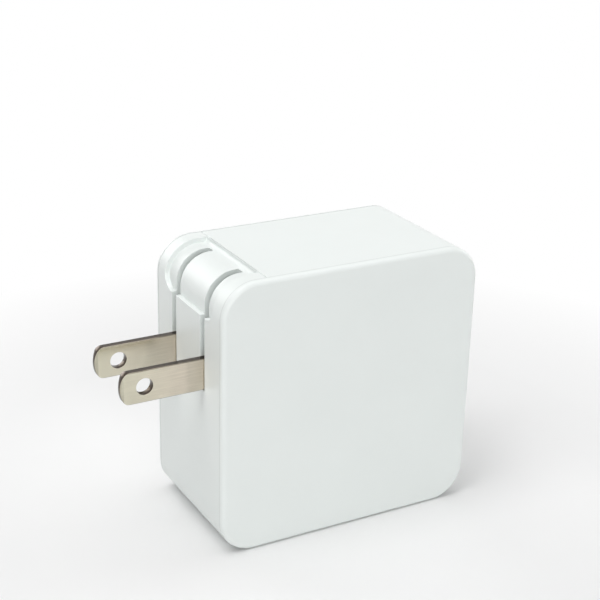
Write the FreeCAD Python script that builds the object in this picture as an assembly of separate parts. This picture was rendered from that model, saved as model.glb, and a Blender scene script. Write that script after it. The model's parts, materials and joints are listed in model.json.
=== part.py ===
import FreeCAD, Part

import math
import os

# A plug-in charger for a laptop, with two prongs that fold into its end.
# Millimetres. It stands on its narrow side: X runs from the plug end to the port end,
# Y from the front face to the back face, and Z up. The origin is the middle of the base.

# Casing
body_width = 55.0
body_depth = 30.0
body_height = 55.0
corner_radius = 7.0
edge_round = 1.0
rim_land = 0.2
parting_chamfer = 0.1
frame_wall = 1.8
lip_wall = 1.0
lip_height = 1.5
fit_gap = 0.1

# Plug end cap
cap_length = 9.3
seam_gap = 0.1
tongue_wall = 1.0
tongue_length = 2.0
scoop_depth = 0.95
scoop_drop = 8.7
scoop_run = 9.0
scoop_end_round = 0.8
scoop_half_width = 10.7
scoop_corner = 3.0
slot_side_gap = 0.2
slot_end_gap = 0.35
trough_wall = 0.8

# Folding prongs
prong_reach = 16.5
prong_width = 6.35
prong_thickness = 1.5
prong_pitch = 12.7
prong_hole_radius = 1.65
prong_hole_setback = 11.8
prong_tip_bulge = 1.0
prong_tip_corner = 1.6
prong_tip_bevel = 0.35
prong_edge_break = 0.15
prong_centre_height = 35.0
pivot_depth = 3.0
pivot_drop = 1.25
tail_reach = 5.2
tail_width = 3.6
tail_drop = 1.2
barrel_radius = 1.75
journal_gap = 0.05
barrel_end_margin = 2.3
key_size = 2.0
cam_size = 1.6
cam_length = 3.0

# Keeper that holds the barrel, and its screws
saddle_half_height = 3.2
saddle_inner_half = 4.2
keeper_bar_depth = 8.05
keeper_bar_thickness = 1.3
keeper_window_gap = 0.35
keeper_bar_rail = 0.7
screw_offset = 5.8
screw_radius = 1.0
screw_head_radius = 1.8
screw_head_height = 1.1
screw_length = 6.0
screw_groove = 0.25
boss_half = 2.0
detent_thickness = 0.3
contact_thickness = 0.4
contact_width = 2.2
live_foot_setback = 2.9
touch_gap = 0.05

# Port plate and sockets
plate_side_margin = 5.0
plate_end_margin = 8.5
plate_corner = 4.0
plate_recess = 0.2
flange_width = 1.2
flange_thickness = 1.0
port_pitch = 11.5
aperture_gap = 0.15
mouth_recess = 0.4
socket_depth = 10.0
usb_a_width = 13.1
usb_a_height = 5.72
usb_a_wall = 0.3
usb_a_tongue_width = 11.1
usb_a_tongue_thickness = 1.84
usb_c_width = 8.94
usb_c_height = 3.16
usb_c_wall = 0.25
usb_c_tongue_width = 6.69
usb_c_tongue_thickness = 0.7
tongue_setback = 0.8
tongue_nose = 0.3
strip_setback = 1.6
strip_thickness = 0.15
round_end_flat = 0.02

# Boards
board_thickness = 1.6
board_back_space = 2.8
board_margin = 0.4
port_board_thickness = 1.2
port_board_width = 19.0
guide_rib = 1.6
guide_rib_depth = 0.9

# Parts on the boards
part_gap = 0.8
core_depth = 16.0
core_foot = 1.0
bobbin_wall = 0.6
capacitor_height = 18.0
output_height = 9.0
choke_limb = 2.2
choke_height = 5.0
choke_winding = 0.9
box_capacitor_depth = 11.0
fuse_depth = 7.7
rectifier_width = 8.0
rectifier_height = 6.5
switch_size = 8.0
controller_size = 5.0
chip_height = 0.9
sheet_thickness = 0.25
sheet_inset = 0.8
spreader_thickness = 0.5
spreader_inset = 1.6

# How far a cutting shape runs past the face it opens, and how near counts as touching
past = 1.0
near = 0.001

# Planes worked out from the sizes above
plug_end = -body_width / 2
port_end = body_width / 2
front_face = -body_depth / 2
back_face = body_depth / 2
cover_rim = edge_round + rim_land
plate_width = body_depth - 2 * plate_side_margin
plate_height = body_height - 2 * plate_end_margin
front_parting = front_face + cover_rim
back_parting = back_face - cover_rim
seam = plug_end + cap_length
prong_offset = prong_pitch / 2
pivot_x = plug_end + pivot_depth
pivot_z = prong_centre_height - pivot_drop
slot_half = prong_thickness / 2 + slot_side_gap
slot_depth_x = pivot_x + pivot_drop + prong_width / 2 + slot_end_gap
tail_sweep = tail_reach + slot_end_gap
heel_radius = prong_width / 2 - pivot_drop
heel_x = pivot_x - barrel_radius - journal_gap
barrel_half = prong_offset + slot_half + barrel_end_margin
keeper_bar_x = plug_end + keeper_bar_depth
board_back = back_parting - board_back_space
board_front = board_back - board_thickness
board_start = seam + tongue_length + fit_gap
board_end = port_end - frame_wall - flange_thickness - board_margin
port_board_back = port_end - mouth_recess - socket_depth - port_board_thickness
port_heights = [body_height / 2 + port_pitch, body_height / 2, body_height / 2 - port_pitch]

# The board's plan: twelve columns between the plug end and the sockets, and three rows
column = (port_board_back - board_start) / 12
first_row = frame_wall + guide_rib + part_gap
bulk_diameter = 4 * column - part_gap
second_row = first_row + bulk_diameter + part_gap
foot_level = pivot_z - tail_drop
second_row_height = foot_level - part_gap - second_row
third_row = foot_level + contact_thickness + part_gap
third_row_height = body_height - first_row - third_row
core_width = 7 * column - part_gap
core_plate = core_width / 7
post_half = core_width / 6
winding_room = core_width / 2 - core_plate - post_half - fit_gap
core_height = third_row_height - 2 * winding_room


def vec(x, y, z):
    return FreeCAD.Vector(x, y, z)


ALONG_X = vec(1, 0, 0)
ALONG_Y = vec(0, 1, 0)


def block(x0, x1, y0, y1, z0, z1):
    """A plain box between two corners."""
    return Part.makeBox(x1 - x0, y1 - y0, z1 - z0, vec(x0, y0, z0))


def rod(radius, start, end):
    """A round bar from one point to another."""
    axis = end.sub(start)
    return Part.makeCylinder(radius, axis.Length, start, axis)


def fused(solids):
    """One solid made of pieces that overlap or share a face."""
    return solids[0].fuse(solids[1:]).removeSplitter() if len(solids) > 1 else solids[0]


def is_along(edge, axis):
    return abs(edge.tangentAt(edge.FirstParameter).dot(axis)) > 0.999


def round_along(shape, axis, radius):
    """Rounds the straight edges that run along one axis."""
    return shape.makeFillet(radius, [edge for edge in shape.Edges if is_along(edge, axis)])


def edges_on(shape, axis, place):
    """The edges that lie wholly on one plane across an axis."""
    def on_plane(edge):
        box = edge.BoundBox
        low = vec(box.XMin, box.YMin, box.ZMin).dot(axis)
        high = vec(box.XMax, box.YMax, box.ZMax).dot(axis)
        return abs(low - place) < near and abs(high - place) < near
    return [edge for edge in shape.Edges if on_plane(edge)]


def outline(inset, y0, y1):
    """The charger's rounded square outline, drawn in by a distance, between two depths."""
    shape = block(plug_end + inset, port_end - inset, y0, y1, inset, body_height - inset)
    return round_along(shape, ALONG_Y, corner_radius - inset)


def cover(side):
    """A shallow cover: the big face, its rounded rim, and four ribs that locate it in the band."""
    face = side * body_depth / 2
    parting = side * (body_depth / 2 - cover_rim)
    shell = outline(0, min(face, parting), max(face, parting))
    shell = shell.makeFillet(edge_round, edges_on(shell, ALONG_Y, face))
    y0, y1 = sorted((parting, parting - side * lip_height))
    low = frame_wall + fit_gap
    ribs = []
    for x0 in (plug_end + low, port_end - low - lip_wall):
        ribs.append(block(x0, x0 + lip_wall, y0, y1, corner_radius, body_height - corner_radius))
    for z0 in (low, body_height - low - lip_wall):
        ribs.append(block(plug_end + corner_radius, port_end - corner_radius, y0, y1, z0, z0 + lip_wall))
    return fused([shell] + ribs)


def band():
    """The band between the two covers, with its rims broken so that the parting lines show."""
    shape = outline(0, front_parting, back_parting)
    rims = edges_on(shape, ALONG_Y, front_parting) + edges_on(shape, ALONG_Y, back_parting)
    return shape.makeChamfer(parting_chamfer, rims)


def cavity():
    """The hollow inside the band."""
    return outline(frame_wall, front_face, back_face)


def break_seam(shape, place):
    """Breaks the outer edges of a band piece where it meets the seam."""
    def outer(edge):
        box = edge.BoundBox
        low = abs(box.ZMax) < near
        high = abs(box.ZMin - body_height) < near
        return low or high
    return shape.makeChamfer(parting_chamfer, [e for e in edges_on(shape, ALONG_X, place) if outer(e)])


def mid_frame():
    """Top, bottom and port end walls in one moulding, with ribs that hold the main board."""
    start = seam + seam_gap / 2
    walls = band().common(block(start, port_end, front_face, back_face, 0, body_height))
    walls = break_seam(walls, start).cut(cavity())
    window_y = plate_width / 2 + fit_gap
    window_z = plate_height / 2 + fit_gap
    middle = body_height / 2
    window = block(port_end - 2 * frame_wall, port_end + past, -window_y, window_y,
                   middle - window_z, middle + window_z)
    walls = walls.cut(round_along(window, ALONG_X, plate_corner + fit_gap))
    ribs = []
    rib_start = board_start + fit_gap
    rib_end = port_end - corner_radius
    for face, away in ((board_front - fit_gap, -1), (board_back + fit_gap, 1)):
        y0, y1 = sorted((face, face + away * guide_rib_depth))
        ribs.append(block(rib_start, rib_end, y0, y1, frame_wall, frame_wall + guide_rib))
        top = body_height - frame_wall
        ribs.append(block(rib_start, rib_end, y0, y1, top - guide_rib, top))
    return fused([walls] + ribs)


def scoop():
    """The finger scoop over the prongs' tips: the casing's corner drawn in, with a round at its end."""
    end = plug_end + scoop_run
    floor = body_height - scoop_depth
    sweep = block(plug_end - past, end, -scoop_half_width, scoop_half_width,
                  body_height - scoop_drop, body_height + scoop_corner + past)
    sweep = round_along(sweep, ALONG_X, scoop_corner)
    cutter = sweep.cut(outline(scoop_depth, -body_depth, body_depth))
    return cutter.makeFillet(scoop_end_round, [edge for edge in edges_on(cutter, ALONG_X, end)
                                               if abs(edge.BoundBox.ZMax - floor) < near])


def slot(side):
    """The opening that a prong turns through and folds into, with room for its tail to swing."""
    y0 = side * prong_offset - slot_half
    y1 = side * prong_offset + slot_half
    bottom = prong_centre_height - prong_width / 2 - slot_side_gap
    pocket = block(plug_end - past, slot_depth_x, y0, y1, bottom, body_height + past)
    heel = rod(tail_sweep, vec(pivot_x, y0, pivot_z), vec(pivot_x, y1, pivot_z))
    heel = heel.common(block(heel_x, pivot_x + tail_sweep, y0, y1, 0, body_height))
    return fused([pocket, heel])


def saddle_spans():
    """Where the barrel is carried along Y: outside each prong, and twice between them."""
    outer_start = prong_offset + slot_half + trough_wall
    cam_end = -saddle_inner_half + cam_length
    return [(-barrel_half, -outer_start), (cam_end + fit_gap, saddle_inner_half), (outer_start, barrel_half)]


def journal_hole():
    """The barrel's running clearance."""
    radius = barrel_radius + journal_gap
    half = barrel_half + fit_gap
    return rod(radius, vec(pivot_x, -half, pivot_z), vec(pivot_x, half, pivot_z))


def plug_end_cap():
    """The end that carries the prongs, with slots, scoop, prong pockets, saddles and bosses."""
    end = seam - seam_gap / 2
    shell = band().common(block(plug_end, end, front_face, back_face, 0, body_height))
    shell = break_seam(shell, end).cut(cavity())
    inner = []
    for side in (-1, 1):
        half = slot_half + trough_wall
        middle = side * prong_offset
        low = pivot_z + saddle_half_height + trough_wall
        inner.append(block(plug_end, slot_depth_x + trough_wall, middle - half, middle + half,
                           low, body_height))
        z = pivot_z + side * screw_offset
        inner.append(block(plug_end, keeper_bar_x, -boss_half, boss_half, z - boss_half, z + boss_half))
    for y0, y1 in saddle_spans():
        inner.append(block(plug_end, pivot_x, y0, y1,
                           pivot_z - saddle_half_height, pivot_z + saddle_half_height))
    half = body_depth / 2 - cover_rim - lip_height - fit_gap
    reach = seam + tongue_length
    for z0 in (frame_wall + fit_gap, body_height - frame_wall - fit_gap - tongue_wall):
        inner.append(block(seam - tongue_length, reach, -half, half, z0, z0 + tongue_wall))
    for z0 in (frame_wall, body_height - frame_wall - fit_gap):
        inner.append(block(seam - tongue_length, end, -half, half, z0, z0 + fit_gap))
    hull = outline(0, -half, half).common(block(plug_end, reach, -half, half, 0, body_height))
    shell = fused([shell] + [piece.common(hull) for piece in inner])
    cutters = [scoop(), slot(-1), slot(1), journal_hole()]
    pilot = screw_radius + journal_gap
    tip = keeper_bar_x + keeper_bar_thickness - screw_length - fit_gap
    for side in (-1, 1):
        z = pivot_z + side * screw_offset
        cutters.append(rod(pilot, vec(tip, 0, z), vec(keeper_bar_x + past, 0, z)))
    return shell.cut(cutters)


def rotor_keeper():
    """A bridge screwed behind the barrel, with half saddles and windows for the prongs' tails."""
    back = keeper_bar_x + keeper_bar_thickness
    arm_half = saddle_half_height - journal_gap
    window_half_height = arm_half - keeper_bar_rail
    bar = block(keeper_bar_x, back, -barrel_half, barrel_half, pivot_z - arm_half, pivot_z + arm_half)
    window_half = max(prong_thickness, contact_width) / 2 + keeper_window_gap
    arms = []
    for y0, y1 in saddle_spans():
        arms.append(block(pivot_x + fit_gap, back, y0, y1, pivot_z - arm_half, pivot_z + arm_half))
    for side in (-1, 1):
        middle = side * prong_offset
        bar = bar.cut(block(keeper_bar_x - past, back + past, middle - window_half, middle + window_half,
                            pivot_z - window_half_height, pivot_z + window_half_height))
        lug_end = pivot_z + side * (screw_offset + boss_half)
        z0, z1 = sorted((lug_end, pivot_z + side * window_half_height))
        arms.append(block(keeper_bar_x, back, -boss_half, boss_half, z0, z1))
    keeper = fused([bar] + arms)
    holes = [journal_hole()]
    for side in (-1, 1):
        z = pivot_z + side * screw_offset
        holes.append(rod(screw_radius + journal_gap, vec(keeper_bar_x - past, 0, z), vec(back + past, 0, z)))
    return keeper.cut(holes)


def keeper_screws():
    """Two pan head screws with a plain slot, which hold the keeper to its bosses."""
    screws = []
    seat = keeper_bar_x + keeper_bar_thickness
    for side in (-1, 1):
        z = pivot_z + side * screw_offset
        shank = rod(screw_radius, vec(seat - screw_length, 0, z), vec(seat, 0, z))
        head = rod(screw_head_radius, vec(seat, 0, z), vec(seat + screw_head_height, 0, z))
        groove = block(seat + screw_head_height / 2, seat + 2 * screw_head_height,
                       -screw_head_radius, screw_head_radius, z - screw_groove, z + screw_groove)
        screws.append(fused([shank, head]).cut(groove))
    return Part.makeCompound(screws)


def prong_profile(y0, y1):
    """A prong's outline: a bulged tip, straight edges, a heel round the pivot and a wiping tail."""
    low = prong_centre_height - prong_width / 2
    high = prong_centre_height + prong_width / 2
    tip = plug_end - prong_reach
    shoulder = tip + prong_tip_bulge
    bulge_radius = (prong_width ** 2 / 4 + prong_tip_bulge ** 2) / (2 * prong_tip_bulge)
    bulge = rod(bulge_radius, vec(tip + bulge_radius, y0, prong_centre_height),
                vec(tip + bulge_radius, y1, prong_centre_height))
    strip = block(tip, shoulder, y0, y1, low, high).common(bulge)
    strip = fused([strip, block(shoulder, pivot_x, y0, y1, low, high)])

    def at_shoulder(edge):
        box = edge.BoundBox
        upright = box.XMax - box.XMin < near and box.ZMax - box.ZMin < near
        return upright and abs(box.XMin - shoulder) < near
    strip = strip.makeFillet(prong_tip_corner, [edge for edge in strip.Edges if at_shoulder(edge)])
    heel = rod(heel_radius, vec(pivot_x, y0, pivot_z), vec(pivot_x, y1, pivot_z))
    tail = block(pivot_x, pivot_x + tail_reach, y0, y1, pivot_z - tail_drop, pivot_z - tail_drop + tail_width)
    tail = tail.common(rod(tail_reach, vec(pivot_x, y0, pivot_z), vec(pivot_x, y1, pivot_z)))
    return fused([strip, heel, tail])


def tip_edges(strip, tip):
    """The two upright edges at a strip's tip."""
    return [edge for edge in edges_on(strip, ALONG_X, tip) if edge.Length > prong_thickness * 2]


def prong(side):
    """A flat blade with a bevelled tip and a square window that the barrel is moulded through."""
    y0 = side * prong_offset - prong_thickness / 2
    y1 = side * prong_offset + prong_thickness / 2
    tip = plug_end - prong_reach
    rear = pivot_x + tail_reach
    low = prong_centre_height - prong_width / 2
    strip = block(tip, rear, y0, y1, low, low + prong_width)
    long_edges = [edge for edge in strip.Edges if edge.Length > prong_reach]
    broken = strip.makeChamfer(prong_edge_break, long_edges)
    bevelled = strip.makeChamfer(prong_tip_bevel, 2 * prong_tip_bevel, tip_edges(strip, tip))
    blade = prong_profile(y0, y1).common(broken).common(bevelled)
    hole_x = plug_end - prong_hole_setback
    blade = blade.cut(rod(prong_hole_radius, vec(hole_x, y0 - past, prong_centre_height),
                          vec(hole_x, y1 + past, prong_centre_height)))
    key = key_size / 2
    return blade.cut(block(pivot_x - key, pivot_x + key, y0 - past, y1 + past, pivot_z - key, pivot_z + key))


def prong_rotor():
    """The moulded barrel that both prongs turn with: round journals, square necks and a cam."""
    necks = []
    ends = [-barrel_half, barrel_half]
    for side in (-1, 1):
        ends += [side * prong_offset - prong_thickness / 2, side * prong_offset + prong_thickness / 2]
        middle = side * prong_offset
        key = key_size / 2
        necks.append(block(pivot_x - key, pivot_x + key, middle - prong_thickness / 2,
                           middle + prong_thickness / 2, pivot_z - key, pivot_z + key))
    ends.sort()
    rounds = []
    for y0, y1 in zip(ends[0::2], ends[1::2]):
        rounds.append(rod(barrel_radius, vec(pivot_x, y0, pivot_z), vec(pivot_x, y1, pivot_z)))
    cam = block(pivot_x, pivot_x + cam_size, -saddle_inner_half, -saddle_inner_half + cam_length,
                pivot_z, pivot_z + cam_size)
    flat_side = block(pivot_x + cam_size, pivot_x + 2 * barrel_radius, -saddle_inner_half,
                      -saddle_inner_half + cam_length, pivot_z - barrel_radius, pivot_z + 2 * barrel_radius)
    flat_top = block(pivot_x - barrel_radius, pivot_x + 2 * barrel_radius, -saddle_inner_half,
                     -saddle_inner_half + cam_length, pivot_z + cam_size, pivot_z + 2 * barrel_radius)
    return fused(rounds + necks + [cam]).cut([flat_side, flat_top])


def strip_along(points, thickness, y0, y1):
    """A bent strip of sheet metal. The points are one face of it, and the metal lies to their right."""
    rights = []
    for (x0, z0), (x1, z1) in zip(points, points[1:]):
        length = math.hypot(x1 - x0, z1 - z0)
        rights.append(((z1 - z0) / length, (x0 - x1) / length))
    far_side = []
    for (x, z), before, after in zip(points, rights[:1] + rights, rights + rights[-1:]):
        reach = thickness / (1 + before[0] * after[0] + before[1] * after[1])
        far_side.append((x + reach * (before[0] + after[0]), z + reach * (before[1] + after[1])))
    loop = points + far_side[::-1] + points[:1]
    face = Part.Face(Part.makePolygon([vec(x, y0, z) for x, z in loop]))
    return face.extrude(vec(0, y1 - y0, 0))


def detent_spring():
    """A leaf that presses on the cam's flats and holds the prongs open or folded."""
    y0 = -saddle_inner_half
    y1 = y0 + cam_length
    foot = keeper_bar_x - detent_thickness
    low = pivot_z - saddle_half_height + journal_gap
    touch = pivot_x + cam_size + touch_gap
    points = [
        (foot, low),
        (foot, low + keeper_bar_rail),
        (touch, pivot_z - cam_size / 2),
        (touch, pivot_z + cam_size / 2),
        (touch + cam_size / 2, pivot_z + 3 * cam_size / 2)]
    return strip_along(points, detent_thickness, y0, y1)


def contact(side):
    """A bronze leaf that the tail of an open prong wipes on, with a foot through the main board."""
    middle = side * prong_offset
    y0 = middle - contact_width / 2
    y1 = middle + contact_width / 2
    touch = pivot_x + tail_reach + touch_gap
    low = foot_level
    back = board_start + contact_width + (live_foot_setback if side < 0 else 0)
    points = [
        (back, low),
        (touch + contact_width / 2, low),
        (touch, pivot_z),
        (touch + contact_thickness, pivot_z + tail_drop)]
    leaf = strip_along(points, contact_thickness, y0, y1)
    foot = block(back - contact_width, back, y0, board_front, low, low + contact_thickness)
    return fused([leaf, foot])


def main_board():
    """The board that stands in the frame's ribs beside the back cover."""
    shape = outline(frame_wall + board_margin, board_front, board_back)
    return shape.common(block(board_start, board_end, front_face, back_face, 0, body_height))


def port_board():
    """The small upright board that carries the three sockets."""
    return block(port_board_back, port_board_back + port_board_thickness,
                 board_front - port_board_width, board_front, first_row, body_height - first_row)


def socket_tube(height, width, wall, length_start, length_end, centre_z, corner):
    """A rounded metal tube with a closed rear wall."""
    outer = block(length_start, length_end, -width / 2, width / 2,
                  centre_z - height / 2, centre_z + height / 2)
    outer = round_along(outer, ALONG_X, corner)
    inner = block(length_start + wall, length_end + past, -width / 2 + wall, width / 2 - wall,
                  centre_z - height / 2 + wall, centre_z + height / 2 - wall)
    inner = round_along(inner, ALONG_X, corner - wall)
    return outer.cut(inner)


def aperture(width, height, corner, centre_z):
    """A socket's opening through the plate."""
    y = width / 2 + aperture_gap
    z = height / 2 + aperture_gap
    hole = block(port_end - 4 * frame_wall, port_end, -y, y, centre_z - z, centre_z + z)
    return round_along(hole, ALONG_X, corner + aperture_gap)


def port_plate():
    """The panel round the sockets, held from inside by its flange."""
    face = port_end - plate_recess
    middle = body_height / 2
    panel = block(port_end - frame_wall - flange_thickness, face, -plate_width / 2, plate_width / 2,
                  middle - plate_height / 2, middle + plate_height / 2)
    panel = round_along(panel, ALONG_X, plate_corner)
    y = plate_width / 2 + flange_width
    z = plate_height / 2 + flange_width
    flange = block(port_end - frame_wall - flange_thickness, port_end - frame_wall, -y, y,
                   middle - z, middle + z)
    panel = fused([panel, flange])
    holes = [aperture(usb_a_width, usb_a_height, usb_a_corner(), port_heights[0])]
    for height in port_heights[1:]:
        holes.append(aperture(usb_c_width, usb_c_height, usb_c_corner(), height))
    return panel.cut(holes)


def usb_a_corner():
    return 2 * usb_a_wall


def usb_c_corner():
    return (usb_c_height - round_end_flat) / 2


def usb_a_shell():
    """The wide socket's steel shell, with two spring tongues above and two below."""
    start = port_end - mouth_recess - socket_depth
    tube = socket_tube(usb_a_height, usb_a_width, usb_a_wall, start, port_end - mouth_recess,
                       port_heights[0], usb_a_corner())
    spring_width = usb_a_width / 6
    spring_length = socket_depth / 2
    cut = usb_a_wall
    z0 = port_heights[0] - usb_a_height
    z1 = port_heights[0] + usb_a_height
    spring_end = port_end - mouth_recess - socket_depth / 6
    for side in (-1, 1):
        y = side * usb_a_width / 5
        slit = block(spring_end - spring_length, spring_end, y - spring_width / 2 - cut,
                     y + spring_width / 2 + cut, z0, z1)
        leaf = block(spring_end - spring_length, spring_end - cut, y - spring_width / 2,
                     y + spring_width / 2, z0, z1)
        tube = tube.cut(slit.cut(leaf))
    return tube


def usb_a_tongue():
    """The insulator inside the wide socket: a base block and the plate that carries the contacts."""
    start = port_end - mouth_recess - socket_depth + usb_a_wall
    half = usb_a_width / 2 - usb_a_wall - fit_gap
    z = port_heights[0]
    base_half = usb_a_height / 2 - usb_a_wall - fit_gap
    base = block(start, start + socket_depth / 5, -half, half, z - base_half, z + base_half)
    upper = z + base_half - fit_gap
    end = port_end - mouth_recess - tongue_setback
    plate = block(start, end, -usb_a_tongue_width / 2, usb_a_tongue_width / 2,
                  upper - usb_a_tongue_thickness, upper)
    plate = plate.makeChamfer(tongue_nose, edges_on(plate, ALONG_X, end))
    return fused([base, plate])


def usb_a_contacts():
    """Four gilt strips under the wide socket's plate."""
    z1 = port_heights[0] + usb_a_height / 2 - usb_a_wall - 2 * fit_gap - usb_a_tongue_thickness
    pitch = usb_a_tongue_width / 5
    start = port_end - mouth_recess - socket_depth * 4 / 5 + usb_a_wall
    strips = []
    for number in range(4):
        y = (number - 1.5) * pitch
        strips.append(block(start, port_end - mouth_recess - strip_setback, y - pitch / 4, y + pitch / 4,
                            z1 - strip_thickness, z1))
    return Part.makeCompound(strips)


def usb_c_shell(height):
    """A small socket's drawn steel shell."""
    start = port_end - mouth_recess - socket_depth
    return socket_tube(usb_c_height, usb_c_width, usb_c_wall, start, port_end - mouth_recess,
                       height, usb_c_corner())


def usb_c_tongue(height):
    """A small socket's centre plate on its base."""
    start = port_end - mouth_recess - socket_depth + usb_c_wall
    inner_half = usb_c_height / 2 - usb_c_wall - fit_gap
    width = usb_c_width / 2 - usb_c_wall - fit_gap
    base = block(start, start + 2 * socket_depth / 5, -width, width, height - inner_half, height + inner_half)
    base = base.makeChamfer(2 * inner_half / 3, [edge for edge in base.Edges if is_along(edge, ALONG_X)])
    end = port_end - mouth_recess - tongue_setback
    plate = block(start, end, -usb_c_tongue_width / 2, usb_c_tongue_width / 2,
                  height - usb_c_tongue_thickness / 2, height + usb_c_tongue_thickness / 2)
    plate = plate.makeChamfer(usb_c_tongue_thickness / 4, edges_on(plate, ALONG_X, end))
    return fused([base, plate])


def transformer_place():
    """The transformer's middle on the board: x, the y of its far face, and its lowest z."""
    x = port_board_back - part_gap / 2 - core_width / 2
    return x, board_front - core_depth, third_row + winding_room


def transformer_core():
    """A ferrite core of the two window kind, open above and below, with a square centre post."""
    x, y, z = transformer_place()
    y1 = board_front - core_foot
    core = block(x - core_width / 2, x + core_width / 2, y, y1, z, z + core_height)
    inner_half = core_width / 2 - core_plate
    window = block(x - inner_half, x + inner_half, y + core_plate, y1 - core_plate,
                   z - past, z + core_height + past)
    post = block(x - post_half, x + post_half, y + core_plate, y1 - core_plate, z, z + core_height)
    return fused([core.cut(window), post])


def square_ring(inner_x, inner_z, wall, y0, y1):
    """A square sleeve round the transformer's post."""
    x, _, z = transformer_place()
    middle_z = z + core_height / 2
    outer = block(x - inner_x - wall, x + inner_x + wall, y0, y1,
                  middle_z - inner_z - wall, middle_z + inner_z + wall)
    return outer.cut(block(x - inner_x, x + inner_x, y0 - past, y1 + past,
                           middle_z - inner_z, middle_z + inner_z))


def transformer_bobbin():
    """The former on the post, with a flange at each end."""
    _, y, _ = transformer_place()
    y0 = y + core_plate
    y1 = board_front - core_foot - core_plate
    half_z = core_height / 2
    tube = square_ring(post_half, half_z, bobbin_wall, y0, y1)
    return fused([tube, square_ring(post_half, half_z, winding_room, y0, y0 + bobbin_wall),
                  square_ring(post_half, half_z, winding_room, y1 - bobbin_wall, y1)])


def transformer_winding():
    """The taped coil on the former."""
    _, y, _ = transformer_place()
    y0 = y + core_plate + bobbin_wall
    y1 = board_front - core_foot - core_plate - bobbin_wall
    thickness = winding_room - bobbin_wall - fit_gap
    return square_ring(post_half + bobbin_wall, core_height / 2 + bobbin_wall, thickness, y0, y1)


def can(first_column, diameter, height, low):
    """A capacitor can standing on the board, from one of its columns and a lowest z."""
    x = board_start + first_column * column + (diameter + part_gap) / 2
    z = low + diameter / 2
    return rod(diameter / 2, vec(x, board_front - height, z), vec(x, board_front, z))


def bulk_capacitors():
    """Three tall cans along the first row."""
    return Part.makeCompound([can(start, bulk_diameter, capacitor_height, first_row) for start in (0, 4, 8)])


def output_capacitors():
    """Two small cans at the socket end of the second row."""
    diameter = 3 * column - part_gap
    return Part.makeCompound([can(start, diameter, output_height, second_row) for start in (6, 9)])


def choke_sizes():
    """The mains choke: its middle's x and z, half its width and half its height on the board."""
    half_x = (5 * column - part_gap) / 2 - choke_winding
    half_z = third_row_height / 3
    x = board_start + 5 * column / 2
    return x, body_height - first_row - half_z, half_x, half_z


def choke_core():
    """A square ferrite ring that stands on the board."""
    x, z, half_x, half_z = choke_sizes()
    y1 = board_front - choke_winding
    ring = block(x - half_x, x + half_x, y1 - choke_height, y1, z - half_z, z + half_z)
    inner_x = half_x - choke_limb
    inner_z = half_z - choke_limb
    return ring.cut(block(x - inner_x, x + inner_x, y1 - choke_height - past, y1 + past,
                          z - inner_z, z + inner_z))


def choke_windings():
    """Two coils, one on each upright limb of the ring."""
    x, z, half_x, half_z = choke_sizes()
    y1 = board_front - choke_winding
    y0 = y1 - choke_height
    inner_z = half_z - choke_limb
    coils = []
    for side in (-1, 1):
        x0, x1 = sorted((x + side * (half_x - choke_limb), x + side * half_x))
        coil = block(x0 - choke_winding, x1 + choke_winding, y0 - choke_winding, y1 + choke_winding,
                     z - inner_z, z + inner_z)
        coils.append(coil.cut(block(x0, x1, y0, y1, z - half_z, z + half_z)))
    return Part.makeCompound(coils)


def boxed_part(first_column, columns, depth, height):
    """A boxed part in the second row, some columns wide."""
    x = board_start + first_column * column + part_gap / 2
    return block(x, x + columns * column - part_gap, board_front - depth, board_front,
                 second_row, second_row + height)


def x_capacitor():
    """A boxed film capacitor across the mains."""
    return boxed_part(0, 3, box_capacitor_depth, second_row_height * 4 / 5)


def fuse():
    """A small boxed fuse beside the film capacitor."""
    return boxed_part(3, 2, fuse_depth, second_row_height / 2)


def y_capacitor():
    """A small disc capacitor that stands on its edge."""
    radius = second_row_height / 4
    x = board_start + 5 * column + part_gap / 2
    y = board_front - radius - part_gap
    z = second_row + radius
    return rod(radius, vec(x, y, z), vec(x + column - part_gap, y, z))


def chip(x, z, width, height):
    """A flat package on the solder side of the main board."""
    return block(x - width / 2, x + width / 2, board_back, board_back + chip_height,
                 z - height / 2, z + height / 2)


def chip_column(number):
    """The X of a column of packages on the solder side, counted from the plug end."""
    return board_start + (board_end - board_start) * (2 * number + 1) / 6


def bridge_rectifier():
    """The mains rectifier."""
    return chip(chip_column(0), prong_centre_height, rectifier_width, rectifier_height)


def power_switches():
    """The two switching transistors that the spreader cools."""
    step = (switch_size + part_gap) / 2
    heights = [prong_centre_height - step, prong_centre_height + step]
    return Part.makeCompound([chip(chip_column(1), height, switch_size, switch_size) for height in heights])


def control_chips():
    """Three controller packages."""
    return Part.makeCompound([chip(chip_column(2), height, controller_size, controller_size)
                              for height in port_heights])


def solder_side_sheet(y0, thickness, inset):
    """A flat sheet over the solder side, inside the back cover's ribs."""
    low = frame_wall + fit_gap + lip_wall + inset
    return block(board_start + inset, board_end - inset, y0, y0 + thickness, low, body_height - low)


def insulating_sheet():
    """The sheet between the live solder side and the heat spreader."""
    return solder_side_sheet(board_back + chip_height + fit_gap, sheet_thickness, sheet_inset)


def heat_spreader():
    """The metal sheet that carries the heat to the back cover."""
    y0 = board_back + chip_height + fit_gap + sheet_thickness
    return solder_side_sheet(y0, spreader_thickness, spreader_inset)


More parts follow.
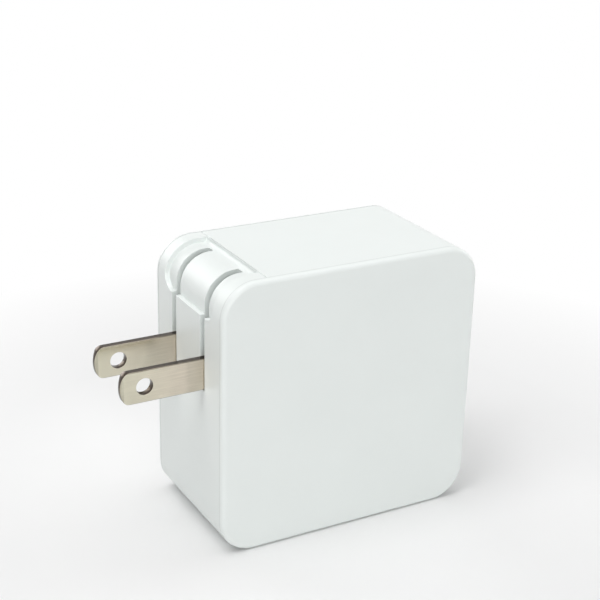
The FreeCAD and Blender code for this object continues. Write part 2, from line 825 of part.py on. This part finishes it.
def export():
    makers = {
        "front_cover": lambda: cover(-1),
        "back_cover": lambda: cover(1),
        "mid_frame": mid_frame,
        "plug_end_cap": plug_end_cap,
        "port_plate": port_plate,
        "live_prong": lambda: prong(-1),
        "neutral_prong": lambda: prong(1),
        "prong_rotor": prong_rotor,
        "rotor_keeper": rotor_keeper,
        "keeper_screws": keeper_screws,
        "detent_spring": detent_spring,
        "live_contact": lambda: contact(-1),
        "neutral_contact": lambda: contact(1),
        "main_board": main_board,
        "port_board": port_board,
        "usb_a_shell": usb_a_shell,
        "usb_a_tongue": usb_a_tongue,
        "usb_a_contacts": usb_a_contacts,
        "usb_c_shell_upper": lambda: usb_c_shell(port_heights[1]),
        "usb_c_tongue_upper": lambda: usb_c_tongue(port_heights[1]),
        "usb_c_shell_lower": lambda: usb_c_shell(port_heights[2]),
        "usb_c_tongue_lower": lambda: usb_c_tongue(port_heights[2]),
        "transformer_core": transformer_core,
        "transformer_bobbin": transformer_bobbin,
        "transformer_winding": transformer_winding,
        "bulk_capacitors": bulk_capacitors,
        "output_capacitors": output_capacitors,
        "choke_core": choke_core,
        "choke_windings": choke_windings,
        "x_capacitor": x_capacitor,
        "y_capacitor": y_capacitor,
        "fuse": fuse,
        "bridge_rectifier": bridge_rectifier,
        "power_switches": power_switches,
        "control_chips": control_chips,
        "insulating_sheet": insulating_sheet,
        "heat_spreader": heat_spreader,
    }
    os.makedirs("parts", exist_ok=True)
    for name, make in makers.items():
        shape = make()
        print(name, len(shape.Solids), round(shape.Volume, 2), "valid" if shape.isValid() else "NOT VALID")
        shape.exportStep(f"parts/{name}.step")


export()
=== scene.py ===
# %% [markdown]
# # A charger with folding prongs
# The part arrives as a packed CAD model: every node has its exact shape and place, and two of its
# bodies turn on each other where the prongs fold. This lesson gives it its looks. It loads the
# model as a fixed frame, builds finer pieces over the surfaces that show, and gives each one a
# finish made of shader nodes. Lengths are in metres, so a size in millimetres is times MM.

# %% Load the packed model
import json
import math

import bmesh
import bpy
from mathutils import Matrix, Vector


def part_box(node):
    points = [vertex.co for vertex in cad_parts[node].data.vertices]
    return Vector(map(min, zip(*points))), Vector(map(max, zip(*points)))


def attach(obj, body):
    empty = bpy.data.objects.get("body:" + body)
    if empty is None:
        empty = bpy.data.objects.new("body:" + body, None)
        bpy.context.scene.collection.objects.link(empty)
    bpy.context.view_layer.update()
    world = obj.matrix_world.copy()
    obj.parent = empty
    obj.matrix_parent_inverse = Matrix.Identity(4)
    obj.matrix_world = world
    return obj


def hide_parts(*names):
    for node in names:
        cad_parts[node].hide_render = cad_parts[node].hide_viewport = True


MM = 0.001


def in_mm(lengths):
    return [round(length / MM, 2) for length in lengths]


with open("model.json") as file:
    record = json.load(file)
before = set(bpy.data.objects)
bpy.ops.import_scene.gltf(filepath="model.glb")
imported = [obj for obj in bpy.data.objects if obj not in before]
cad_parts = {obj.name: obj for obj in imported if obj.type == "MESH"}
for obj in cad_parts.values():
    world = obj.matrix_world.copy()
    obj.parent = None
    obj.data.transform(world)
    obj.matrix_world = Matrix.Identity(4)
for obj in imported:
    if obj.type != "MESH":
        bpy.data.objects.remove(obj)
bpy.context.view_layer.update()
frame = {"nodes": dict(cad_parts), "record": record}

# %% [markdown]
# Places that several pieces share are read from the packed nodes, so that nothing has to be
# fitted by eye. The casing stands on its narrow side, its big faces look along Y, and the prongs
# point to -X. Two covers close a frame between them, at a parting plane in front and one behind.

# %% Measure the casing
cap_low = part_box("plug_end_cap")[0]
frame_low, frame_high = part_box("mid_frame")
case_low = Vector((cap_low.x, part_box("front_cover")[0].y, frame_low.z))
case_high = Vector((frame_high.x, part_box("back_cover")[1].y, frame_high.z))
front_parting = frame_low.y
back_parting = frame_high.y
print("casing in mm:", in_mm(case_high - case_low))
print("parting planes in mm:", in_mm((front_parting, back_parting)))

# %% [markdown]
# The end cap, which holds the prongs, meets the frame at a seam across the top. Inside, the cap
# reaches further in than its seam, so its box doesn't show where that is. The corners of the two
# uppermost faces do: the seam lies halfway between them.

# %% Find the seam of the end cap
TOP_LEVEL = case_high.z - 0.01 * MM


def top_places(node):
    """Where the corners of a node's uppermost face lie along X."""
    corners = frame["nodes"][node].data.vertices
    return [corner.co.x for corner in corners if corner.co.z > TOP_LEVEL]


seam_x = (max(top_places("plug_end_cap")) + min(top_places("mid_frame"))) / 2
print("seam of the end cap in mm:", in_mm([seam_x]))

# %% [markdown]
# The camera stands where the photograph's did. Its direction, roll, distance and lens come from
# the known sizes of flat mains prongs: 6.35 mm wide, 1.5 mm thick and 12.7 mm apart. Three axes
# at right angles make its rotation: right, up and back, since a Blender camera looks along its
# own -Z. The roll turns the first two about the third.

# %% Turn the camera
AZIMUTH = math.radians(-29.3)
ELEVATION = math.radians(21.95)
ROLL = math.radians(1.5)

back = Vector((math.sin(AZIMUTH) * math.cos(ELEVATION),
               -math.cos(AZIMUTH) * math.cos(ELEVATION),
               math.sin(ELEVATION)))
level = (-back).cross(Vector((0, 0, 1))).normalized()
upright = level.cross(-back)
right = math.cos(ROLL) * level + math.sin(ROLL) * upright
up = math.cos(ROLL) * upright - math.sin(ROLL) * level
print("the camera looks along:", [round(value, 3) for value in -back])

# %% [markdown]
# A focal length that was measured in pixels becomes one in millimetres when the sensor's width
# stands for the picture's. The target is a point that the camera looks at, and the camera stands
# back from it by the distance.

# %% Place the camera
DISTANCE = 247.2 * MM
TARGET = Vector((-12.0, -15.0, 50.05)) * MM
FOCAL_PIXELS = 1364.7
PICTURE_PIXELS = 600
SENSOR = 36.0

camera_data = bpy.data.cameras.new("camera")
camera_data.sensor_width = SENSOR
camera_data.lens = SENSOR * FOCAL_PIXELS / PICTURE_PIXELS
camera_data.clip_start = 10 * MM
camera = bpy.data.objects.new("camera", camera_data)
bpy.context.scene.collection.objects.link(camera)
turned = Matrix((right, up, back)).transposed().to_4x4()
camera.matrix_world = Matrix.Translation(TARGET + back * DISTANCE) @ turned
bpy.context.scene.camera = camera
bpy.context.scene.view_settings.view_transform = "Standard"
print("lens in mm:", round(camera_data.lens, 2))

# %% [markdown]
# A finish is a tree of shader nodes. Wiring one by hand takes a line for every link, so three
# small classes do it. The first, Signal, wraps an output socket. Python's own signs then work on
# it, and each of them adds a Math node: 1 - mask makes one that subtracts.

# %% Wrap sockets so that Python can do sums with them
class Signal:
    """An output socket that Python's signs work on."""

    def __init__(self, wiring, socket):
        self.wiring = wiring
        self.socket = socket

    def sum(self, operation, first, second=0.0):
        return self.wiring.node("ShaderNodeMath", {"operation": operation}, {0: first, 1: second})

    def also(self, output):
        """Another output of the same node."""
        return Signal(self.wiring, self.socket.node.outputs[output])

    def __add__(self, other):
        return self.sum("ADD", self, other)

    def __sub__(self, other):
        return self.sum("SUBTRACT", self, other)

    def __mul__(self, other):
        return self.sum("MULTIPLY", self, other)

    def __truediv__(self, other):
        return self.sum("DIVIDE", self, other)

    def __radd__(self, other):
        return self.sum("ADD", other, self)

    def __rsub__(self, other):
        return self.sum("SUBTRACT", other, self)

    def __rmul__(self, other):
        return self.sum("MULTIPLY", other, self)

    def __abs__(self):
        return self.sum("ABSOLUTE", self)

    def __gt__(self, other):
        return self.sum("GREATER_THAN", self, other)

    def __lt__(self, other):
        return self.sum("LESS_THAN", self, other)

    def within(self, low, high):
        return self.sum("MINIMUM", self.sum("MAXIMUM", self, low), high)


print("signs that a signal takes: + - * / < > abs")

# %% [markdown]
# The second class, Wiring, holds one node tree. Its node method makes any node there is. The
# settings are made first, because a setting can change which sockets a node has, and then each
# socket gets a value or a link.

# %% Make any node from one method
class Wiring:
    """A node tree, and the means to add nodes to it."""

    def __init__(self, tree):
        self.tree = tree

    def node(self, kind, settings=None, inputs=None, output=0):
        """Makes a node: its settings first, then the values or signals of its sockets."""
        node = self.tree.nodes.new(kind)
        for name, value in (settings or {}).items():
            setattr(node, name, value)
        for socket, value in (inputs or {}).items():
            self.feed(node.inputs[socket], value)
        return Signal(self, node.outputs[output])

    def feed(self, socket, value):
        """Links a signal to an input socket, or writes a plain value into it."""
        if isinstance(value, Signal):
            self.tree.links.new(value.socket, socket)
        else:
            socket.default_value = value


node_types = [name for name in dir(bpy.types) if name.startswith("ShaderNode")]
print("node types to choose from:", len(node_types))

# %% [markdown]
# The third class, Finish, is the wiring of one material. It has what nearly every finish needs:
# noise whose blobs have a size in millimetres, a mix of two colours, and a bump. All of it reads
# the object's own coordinates, so a pattern stays on its piece when the prongs fold. A Mix node
# has sockets for numbers, vectors and colours, and the four numbers here are its colour ones.

# %% Hold one material
MIX_AMOUNT, MIX_FIRST, MIX_SECOND, MIX_RESULT = 0, 6, 7, 2
finishes = {}


def with_alpha(colour):
    return (*colour, 1) if isinstance(colour, tuple) else colour


class Finish(Wiring):
    """One material, with a Principled shader whose fixed values are given by name."""

    def __init__(self, name, **fixed):
        self.material = bpy.data.materials.new(name)
        self.material.use_nodes = True
        super().__init__(self.material.node_tree)
        self.shader = self.tree.nodes["Principled BSDF"]
        for socket, value in fixed.items():
            self.set(socket.replace("_", " "), value)
        finishes[name] = self

    def set(self, socket, value):
        """Feeds one of the shader's own sockets."""
        self.feed(self.shader.inputs[socket], value)

    def spot(self):
        """The object's own coordinates, in metres."""
        return self.node("ShaderNodeTexCoord", output="Object")

    def axis(self, letter):
        """One of the object's own coordinates, in metres."""
        return self.node("ShaderNodeSeparateXYZ", {}, {0: self.spot()}, letter)

    def noise(self, size, detail=2.0, rough=0.5):
        """Soft noise from 0 to 1 whose blobs have a size in millimetres, along each axis."""
        steps = size if isinstance(size, tuple) else (size, size, size)
        scale = [1 / (step * MM) for step in steps]
        counted = self.node("ShaderNodeMapping", {}, {"Vector": self.spot(), "Scale": scale})
        return self.node("ShaderNodeTexNoise", {},
                         {"Vector": counted, "Scale": 1.0, "Detail": detail, "Roughness": rough})

    def mix(self, amount, first, second, blend="MIX"):
        """A colour between two colours."""
        return self.node("ShaderNodeMix", {"data_type": "RGBA", "blend_type": blend},
                         {MIX_AMOUNT: amount, MIX_FIRST: with_alpha(first),
                          MIX_SECOND: with_alpha(second)}, MIX_RESULT)

    def bump(self, height, depth):
        """Raises the surface by a height from 0 to 1, times a depth in millimetres."""
        raised = self.node("ShaderNodeBump", {}, {"Height": height, "Distance": depth * MM})
        self.set("Normal", raised)

    def near(self, letter, place, reach):
        """1 on a plane across an axis, falling to 0 at a reach in millimetres."""
        return (1 - abs(self.axis(letter) - place) / (reach * MM)).within(0.0, 1.0)


print("a finish can make:", [name for name in vars(Finish) if not name.startswith("_")])

# %% [markdown]
# Where two mouldings meet, the crevice of a seam lies in shade, and that is what makes it a line to
# the eye. Here that shade is painted into the colour as a dark line. The two parting planes run
# right round the casing. Across the top, painted shade lies at the seam of the end cap only over
# the width of the finger scoop. Each entry has the axis that the seam lies across, its place, and
# how far to each side of it and of the casing's middle the painted shade reaches.

# %% List the seams with painted shade
# How dark the painted shade in the seams gets, and how far it reaches in millimetres.
SEAM_SHADE_AMOUNT = 0.50
PARTING_SHADE_REACH = 0.25
SCOOP_SEAM_SHADE_REACH = 0.42
WHOLE_LENGTH = 1.0
SCOOP_SHADE_HALF_WIDTH = 9.8 * MM

shaded_seams = [("Y", front_parting, PARTING_SHADE_REACH, WHOLE_LENGTH),
               ("Y", back_parting, PARTING_SHADE_REACH, WHOLE_LENGTH),
               ("X", seam_x, SCOOP_SEAM_SHADE_REACH, SCOOP_SHADE_HALF_WIDTH)]
print("painted shade lies in", len(shaded_seams), "seams")

# %% [markdown]
# The casing is polycarbonate, moulded against a finely polished tool. A real one is never an even
# white: the tone drifts a little, the gloss is lower where hands have rubbed it, and the surface
# has a fine grain on top of slow waves. One recipe with other numbers serves every moulded piece,
# so it is a function.

# %% Make a moulded plastic
DRIFT_SIZE = 14.0
RUBBED_SIZE = 5.0
RUBBED_SPREAD = 0.10
WAVE_SIZE = 6.0
GRAIN_SHARE = 0.6
# The colour of the painted shade in a seam, as a share of the plastic's own colour.
SEAM_SHADE_TONE = 0.45


def moulded(name, colour, shade, rough, grain=0.35, depth=0.004, seams=()):
    """A moulded plastic: drifting tone, uneven gloss, a fine grain and painted shade in the seams.
    """
    finish = Finish(name)
    seam_shade_colour = tuple(SEAM_SHADE_TONE * value for value in colour)
    tone = finish.mix(finish.noise(DRIFT_SIZE, detail=3.0), colour, shade)
    # Each seam adds a dark line of painted shade, which stands in for the shade in its crevice.
    for letter, place, reach, half_length in seams:
        line = finish.near(letter, place, reach) * (abs(finish.axis("Y")) < half_length)
        tone = finish.mix(line * line * SEAM_SHADE_AMOUNT, tone, seam_shade_colour)
    finish.set("Base Color", tone)
    rubbed = finish.noise(RUBBED_SIZE, detail=4.0)
    finish.set("Roughness", rough + RUBBED_SPREAD * (rubbed - 0.5))
    waves = finish.noise(WAVE_SIZE) * (1 - GRAIN_SHARE)
    finish.bump(finish.noise(grain, detail=3.0) * GRAIN_SHARE + waves, depth)
    return finish


moulded("white_shell", (0.820, 0.858, 0.842), (0.785, 0.825, 0.808), 0.32, seams=shaded_seams)
moulded("port_panel", (0.80, 0.825, 0.815), (0.76, 0.785, 0.775), 0.42, grain=0.25, depth=0.008)
moulded("socket_insulator", (0.030, 0.031, 0.033), (0.018, 0.018, 0.020), 0.40)
print("plastics that show:", list(finishes))

# %% [markdown]
# The pieces behind the casing are mouldings too, or are coated in a way that looks like one:
# the lacquer on a capacitor, the tape round a coil, and pressed ferrite with its coarser grain.

# %% Make the plastics and coatings inside
moulded("rotor_moulding", (0.80, 0.80, 0.78), (0.72, 0.72, 0.70), 0.45)
moulded("bobbin_moulding", (0.055, 0.052, 0.050), (0.030, 0.030, 0.030), 0.45)
moulded("film_capacitor_case", (0.62, 0.50, 0.10), (0.54, 0.42, 0.08), 0.40)
moulded("disc_coating", (0.06, 0.20, 0.46), (0.04, 0.15, 0.38), 0.30)
moulded("fuse_body", (0.045, 0.045, 0.05), (0.02, 0.02, 0.025), 0.40)
moulded("chip_package", (0.028, 0.028, 0.030), (0.015, 0.015, 0.017), 0.55, grain=0.12, depth=0.012)
moulded("insulating_film", (0.86, 0.72, 0.22), (0.78, 0.63, 0.17), 0.25)
moulded("coil_tape", (0.80, 0.62, 0.10), (0.72, 0.54, 0.07), 0.35)
moulded("ferrite", (0.060, 0.058, 0.060), (0.030, 0.030, 0.032), 0.60, grain=0.20, depth=0.020)
moulded("capacitor_can", (0.050, 0.055, 0.075), (0.030, 0.032, 0.045), 0.28)
print("finishes so far:", len(finishes))

# %% [markdown]
# Metal takes its look from what it reflects, and from how it was worked. Rolled or brushed strip
# has long fine lines, so its noise is stretched along the strip. The lines go into the colour,
# the roughness and the bump alike, and slow clouds of haze lie over them.

# %% Make a worked metal
CLOUD_SIZE = 3.0
LINE_SHARE = 0.7


def metal(name, colour, shade, rough, lines, depth, spread=0.10):
    """A metal with brushed or drawn lines, whose size in millimetres is given along each axis."""
    finish = Finish(name, Metallic=1.0)
    brushed = finish.noise(lines, detail=5.0, rough=0.65)
    cloud = finish.noise(CLOUD_SIZE, detail=3.0)
    finish.tone = finish.mix(brushed * LINE_SHARE + cloud * (1 - LINE_SHARE), shade, colour)
    finish.set("Base Color", finish.tone)
    finish.set("Roughness", rough + spread * (brushed - 0.5) + spread * (cloud - 0.5))
    finish.bump(brushed, depth)
    return finish


metal("socket_steel", (0.66, 0.66, 0.65), (0.56, 0.56, 0.56), 0.28, (0.1, 2.0, 0.1), 0.002)
metal("screw_steel", (0.55, 0.55, 0.54), (0.42, 0.42, 0.42), 0.35, (0.2, 0.2, 0.2), 0.003)
metal("spring_bronze", (0.62, 0.40, 0.20), (0.50, 0.30, 0.14), 0.32, (2.0, 0.1, 2.0), 0.003)
metal("contact_gold", (0.83, 0.62, 0.24), (0.72, 0.50, 0.17), 0.25, (1.0, 0.1, 0.1), 0.001)
metal("spreader_metal", (0.66, 0.67, 0.68), (0.56, 0.57, 0.58), 0.38, (0.1, 2.0, 6.0), 0.003)
print("finishes so far:", len(finishes))

# %% [markdown]
# The prongs are stamped from strip and then plated with nickel. The edges and the wall of the hole
# are painted dark: painted dark reflection on the edges and painted shade in the hole. The faces
# stay bright, with a painted reflection tint: a little green towards the tip and warmer towards the
# root. Which parts are painted dark follows from how the surface is turned, so each prong keeps it
# as an attribute of its own, which is written when the prongs are made further down. A mesh
# without the attribute gets no painted dark.

# %% Plate the prongs
EDGE_SHADE_ATTRIBUTE = "painted_edge_shade"
ROLLED_LINES = (7.0, 0.16, 0.16)
# The colour of the painted dark reflection and painted shade on the edges and in the hole.
EDGE_SHADE_TONE = (0.060, 0.045, 0.034)
# Two tints of painted reflection: greener at the tip, warmer and darker at the root.
TIP_REFLECTION_TINT = (0.97, 1.0, 0.93)
ROOT_REFLECTION_TINT = (1.0, 0.95, 0.93)

tip_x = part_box("live_prong")[0].x
plating = metal("prong_plating", (0.90, 0.85, 0.74), (0.44, 0.40, 0.335), 0.22,
                ROLLED_LINES, 0.006, spread=0.20)
# The tint painted along each prong is a painted reflection that changes from tip to root.
along = ((plating.axis("X") - tip_x) / (case_low.x - tip_x)).within(0.0, 1.0)
plating_with_painted_tint = plating.mix(1.0, plating.tone, plating.mix(along, TIP_REFLECTION_TINT, ROOT_REFLECTION_TINT), "MULTIPLY")
# Edges and the hole's wall turned away from the faces are painted dark: painted reflection and
# shade.
edge_shade = plating.node("ShaderNodeAttribute", {"attribute_name": EDGE_SHADE_ATTRIBUTE}, output="Fac")
plating.set("Base Color", plating.mix(edge_shade, plating_with_painted_tint, EDGE_SHADE_TONE))
print("reflection tint painted from tip to root in mm:", in_mm((tip_x, case_low.x)))

# %% [markdown]
# A circuit board is green because a lacquer covers its copper. Copper tracks stand a hair proud
# under the lacquer, and they show as a paler green. Noise that is cut off at a level gives rough
# tracks, which is enough for a board that the casing hides.

# %% Lacquer the circuit boards
TRACK_SIZE = (3.0, 3.0, 0.7)
TRACK_LEVEL = 0.52
TRACK_HEIGHT = 0.03

board = Finish("circuit_board", Roughness=0.3)
tracks = board.noise(TRACK_SIZE, detail=0.0) > TRACK_LEVEL
board.set("Base Color", board.mix(tracks, (0.010, 0.105, 0.045), (0.030, 0.205, 0.085)))
board.bump(tracks, TRACK_HEIGHT)
print("the board has", len(board.tree.nodes), "nodes")

# %% [markdown]
# The model's record names a finish for every node, and calls it a slot. Each packed node gets the
# finish of its slot, also inside the casing, so that nothing is left grey when it is opened.

# %% Put a finish on every packed node
slot_of = {part["node"]: part["material_slot"] for part in frame["record"]["subparts"]}
for node, slot in slot_of.items():
    mesh = frame["nodes"][node].data
    mesh.materials.clear()
    mesh.materials.append(finishes[slot].material)
print(len(finishes), "finishes on", len(slot_of), "nodes")

# %% [markdown]
# A piece starts as a bmesh, Blender's mesh for editing in code. It becomes an object at the
# origin, with its place in its mesh, that rides on one of the model's bodies. Smooth shading
# alone would make the flats look swollen. Weighted normals keep them flat, and let only the
# rounds between them shade smoothly.

# %% Turn a bmesh into a piece
def add_piece(name, shape, body, slot):
    """Turns a bmesh into a piece that rides on a body and takes a slot's finish."""
    mesh = bpy.data.meshes.new(name)
    shape.to_mesh(mesh)
    shape.free()
    mesh.materials.append(finishes[slot].material)
    mesh.polygons.foreach_set("use_smooth", [True] * len(mesh.polygons))
    piece = bpy.data.objects.new(name, mesh)
    bpy.context.scene.collection.objects.link(piece)
    normals = piece.modifiers.new("flat faces stay flat", "WEIGHTED_NORMAL")
    normals.keep_sharp = True
    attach(piece, body)
    print(name, "has", len(mesh.polygons), "faces")
    return piece


print("slots to fill:", len(set(slot_of.values())))

# %% [markdown]
# A packed node is a cloud of loose triangles, fine enough for its shape but with hard facets and
# knife edges. A piece that shows is built from a merged copy: triangles that lie in one plane
# join up, and the sharp edges get a small round, as every moulded or stamped edge has. Some edges
# of a piece can be given a wider round first. The covers and the frame are made here. They meet
# in tight partings, so their rounds are small: bigger ones would open the line.

# %% Round the covers and the frame
MERGE_REACH = 0.001
FLAT = math.radians(0.6)
SHARP = math.radians(32)
SOFT_ROUND = 0.32


def sharp_edges(shape):
    return [edge for edge in shape.edges if edge.is_manifold and edge.calc_face_angle() > SHARP]


def rounded(shape, edges, size, segments):
    """Rounds edges of a bmesh by a size in millimetres."""
    bmesh.ops.bevel(shape, geom=edges, offset=size * MM, segments=segments, profile=0.5,
                    affect="EDGES", clamp_overlap=True, material=-1)


def refined(node, body, rounding, is_soft=None):
    """A merged copy of a packed node whose sharp edges are rounded by a size in millimetres."""
    shape = bmesh.new()
    shape.from_mesh(frame["nodes"][node].data)
    bmesh.ops.remove_doubles(shape, verts=shape.verts, dist=MERGE_REACH * MM)
    bmesh.ops.dissolve_limit(shape, angle_limit=FLAT, verts=shape.verts, edges=shape.edges)
    if is_soft:
        soft = [edge for edge in sharp_edges(shape) if is_soft(edge)]
        print(node, "has", len(soft), "edges with a wider round")
        rounded(shape, soft, SOFT_ROUND, 3)
    rounded(shape, sharp_edges(shape), rounding, 2)
    piece = add_piece(node + "_finished", shape, body, slot_of[node])
    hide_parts(node)
    return piece


MOULDED_ROUND = 0.04
for node in ("front_cover", "back_cover", "mid_frame"):
    refined(node, "casing", MOULDED_ROUND)

# %% [markdown]
# The end cap has a shallow scoop over its upper corner, so that a fingertip can reach the folded
# prongs. A fingertip would feel a crisp rim, so the real one is softer than the cap's other
# edges. An edge belongs to the rim when both its ends lie on the casing's outer face and close to
# the scoop. The outer face is flat above and at the end, with a quarter circle between, so how
# deep a point lies under it takes a little geometry. The edge at the seam stays crisp.

# %% Finish the end cap with a soft rim round its scoop
CORNER_RADIUS = 7.0 * MM
SCOOP_DROP = 8.8 * MM
SCOOP_RUN = 8.2 * MM
RIM_HALF_WIDTH = 11.3 * MM
OUTER_FACE = 0.03 * MM


def depth_in_casing(inward, down):
    """How deep a point lies under the casing's outer face, from its distances to end and top."""
    if max(inward, down) < CORNER_RADIUS:
        return CORNER_RADIUS - math.hypot(CORNER_RADIUS - inward, CORNER_RADIUS - down)
    return min(inward, down)


def on_scoop_rim(edge):
    """True for an edge between the scoop and the casing's outer face, but not at the seam."""
    for corner in edge.verts:
        inward = corner.co.x - case_low.x
        down = case_high.z - corner.co.z
        if depth_in_casing(inward, down) > OUTER_FACE or abs(corner.co.y) > RIM_HALF_WIDTH:
            return False
        if down > SCOOP_DROP or inward > SCOOP_RUN:
            return False
    return True


CAP_ROUND = 0.12
refined("plug_end_cap", "casing", CAP_ROUND, on_scoop_rim)

# %% [markdown]
# The port end is a plate with one wide socket and two small ones. Each has a drawn steel shell
# round a tongue that carries the contacts. Thin metal and fine mouldings have the smallest
# rounds.

# %% Finish the port end
PORT_ROUNDS = {"port_plate": 0.12,
               "usb_a_shell": 0.05, "usb_a_tongue": 0.08, "usb_a_contacts": 0.03,
               "usb_c_shell_upper": 0.05, "usb_c_shell_lower": 0.05,
               "usb_c_tongue_upper": 0.05, "usb_c_tongue_lower": 0.05}
for node, rounding in PORT_ROUNDS.items():
    refined(node, "casing", rounding)

# %% [markdown]
# The prongs ride on the body that turns, so they fold with it. Each keeps how far its surface is
# turned away from the flat of the strip, which sets its painted dark reflection and shade: 0 on the
# faces, 1 on the cut edges, and in between on the small rounds and on the bevel at the tip. The
# cube keeps the bevel nearly as bright as the faces. The normals are read from the evaluated piece,
# since a modifier settles them.

# %% Finish the prongs and mark where they get painted edge shade
BLADE_ROUND = 0.08


def mark_painted_edge_shade(piece):
    """Writes how far a prong's surface is turned away from its faces, which look along Y, for its
    painted edge shade.
    """
    settled = piece.evaluated_get(bpy.context.evaluated_depsgraph_get()).data
    facing = [abs(normal.vector.y) for normal in settled.corner_normals]
    marks = piece.data.attributes.new(EDGE_SHADE_ATTRIBUTE, "FLOAT", "CORNER")
    marks.data.foreach_set("value", [1 - share ** 3 for share in facing])
    print(piece.name, "has", sum(share < 0.5 for share in facing), "corners under painted edge shade")


for node in ("live_prong", "neutral_prong"):
    mark_painted_edge_shade(refined(node, "prongs", BLADE_ROUND))

# %% [markdown]
# A ray can be asked what it is, by a Light Path node. That lets the floor and the room look white
# to the camera, and in reflections, while they light the charger by far less.

# %% Tell looking from lighting
def seen_directly(wiring):
    """1 for rays from the camera, a reflection or a clear material, and 0 for the rest."""
    camera_ray = wiring.node("ShaderNodeLightPath", output="Is Camera Ray")
    others = camera_ray.also("Is Glossy Ray") + camera_ray.also("Is Transmission Ray")
    return (camera_ray + others).within(0.0, 1.0)


WHITE = (1, 1, 1, 1)
print("rays that see white: camera, glossy, transmission")

# %% [markdown]
# The floor is a plain pale sheet. Lamps alone never light it as evenly as paper in a studio sweep,
# so the camera and reflections meet a white glow on it. Near the charger there is no glow and the
# shadow shows, and further out the glow takes over. It lights nothing, because rays that carry
# light on from one surface to another don't meet it.

# %% Lay the floor
FLOOR_SIZE = 3.0
FLOOR_TONE = (0.87, 0.87, 0.87, 1)
SHADOW_REACH = 75.0 * MM
SHADOW_FADE = 60.0 * MM

paper = Finish("floor_paper", Roughness=1.0, Specular_IOR_Level=0.0)
paper.set("Base Color", FLOOR_TONE)
distance = paper.node("ShaderNodeVectorMath", {"operation": "LENGTH"}, {0: paper.spot()}, "Value")
far = ((distance - SHADOW_REACH) / SHADOW_FADE).within(0.0, 1.0)
glow = paper.node("ShaderNodeEmission", {}, {"Color": WHITE, "Strength": 1.0})
lit = Signal(paper, paper.shader.outputs["BSDF"])
glow_share = far * seen_directly(paper)
sheet_looks = paper.node("ShaderNodeMixShader", {}, {0: glow_share, 1: lit, 2: glow})
paper.feed(paper.tree.nodes["Material Output"].inputs["Surface"], sheet_looks)

sheet = bmesh.new()
bmesh.ops.create_grid(sheet, x_segments=1, y_segments=1, size=FLOOR_SIZE / 2)
floor_mesh = bpy.data.meshes.new("floor")
sheet.to_mesh(floor_mesh)
sheet.free()
floor_mesh.materials.append(paper.material)
floor = bpy.data.objects.new("floor", floor_mesh)
bpy.context.scene.collection.objects.link(floor)
print("the shadow fades out between, in mm:", in_mm((SHADOW_REACH, SHADOW_REACH + SHADOW_FADE)))

# %% [markdown]
# Product shots of white goods are taken in a white room. The world is that room: plain white to
# the camera and to reflections, and a faint even light otherwise, because the soft boxes do the
# lighting.

# %% Paint the room
ROOM_LIGHT = 0.06

world = bpy.data.worlds.new("white_room")
world.use_nodes = True
bpy.context.scene.world = world
room = Wiring(world.node_tree)
walls = room.tree.nodes["Background"]
room.feed(walls.inputs["Color"], WHITE)
room.feed(walls.inputs["Strength"], ROOM_LIGHT + (1 - ROOM_LIGHT) * seen_directly(room))
print("the room lights with", ROOM_LIGHT, "of white")

# %% [markdown]
# Five soft boxes make the light. The largest hangs above, and a key beside it on the left lights
# the end with the prongs. One fills the big front face, one stands behind, and one at the right
# keeps the shadow soft. A glossy top mirrors what stands opposite the camera, so the one behind
# stands low and to one side. All are weak enough that no white face loses its tone.

# %% Hang the soft boxes
LAMPS = [("soft_box_above", (0.05, 0.10, 0.90), 0.9, 0.9, 4.6),
         ("key_above_left", (-0.42, -0.10, 0.85), 0.5, 0.5, 3.2),
         ("fill_front", (-0.30, -0.95, 0.30), 0.7, 0.5, 4.6),
         ("fill_back", (-0.25, 1.00, 0.30), 0.7, 0.5, 3.4),
         ("fill_right", (1.00, -0.05, 0.28), 0.6, 0.6, 2.6)]


def soft_box(name, place, aim, width, height, watts):
    """A rectangular lamp at a place, turned to a point."""
    data = bpy.data.lights.new(name, "AREA")
    data.shape = "RECTANGLE"
    data.size = width
    data.size_y = height
    data.energy = watts
    lamp = bpy.data.objects.new(name, data)
    lamp.location = place
    lamp.rotation_euler = (aim - Vector(place)).to_track_quat("-Z", "Y").to_euler()
    bpy.context.scene.collection.objects.link(lamp)


case_middle = Vector((0, 0, (case_low.z + case_high.z) / 2))
for name, place, width, height, watts in LAMPS:
    soft_box(name, place, case_middle, width, height, watts)
    print(name, "gives", watts, "W")
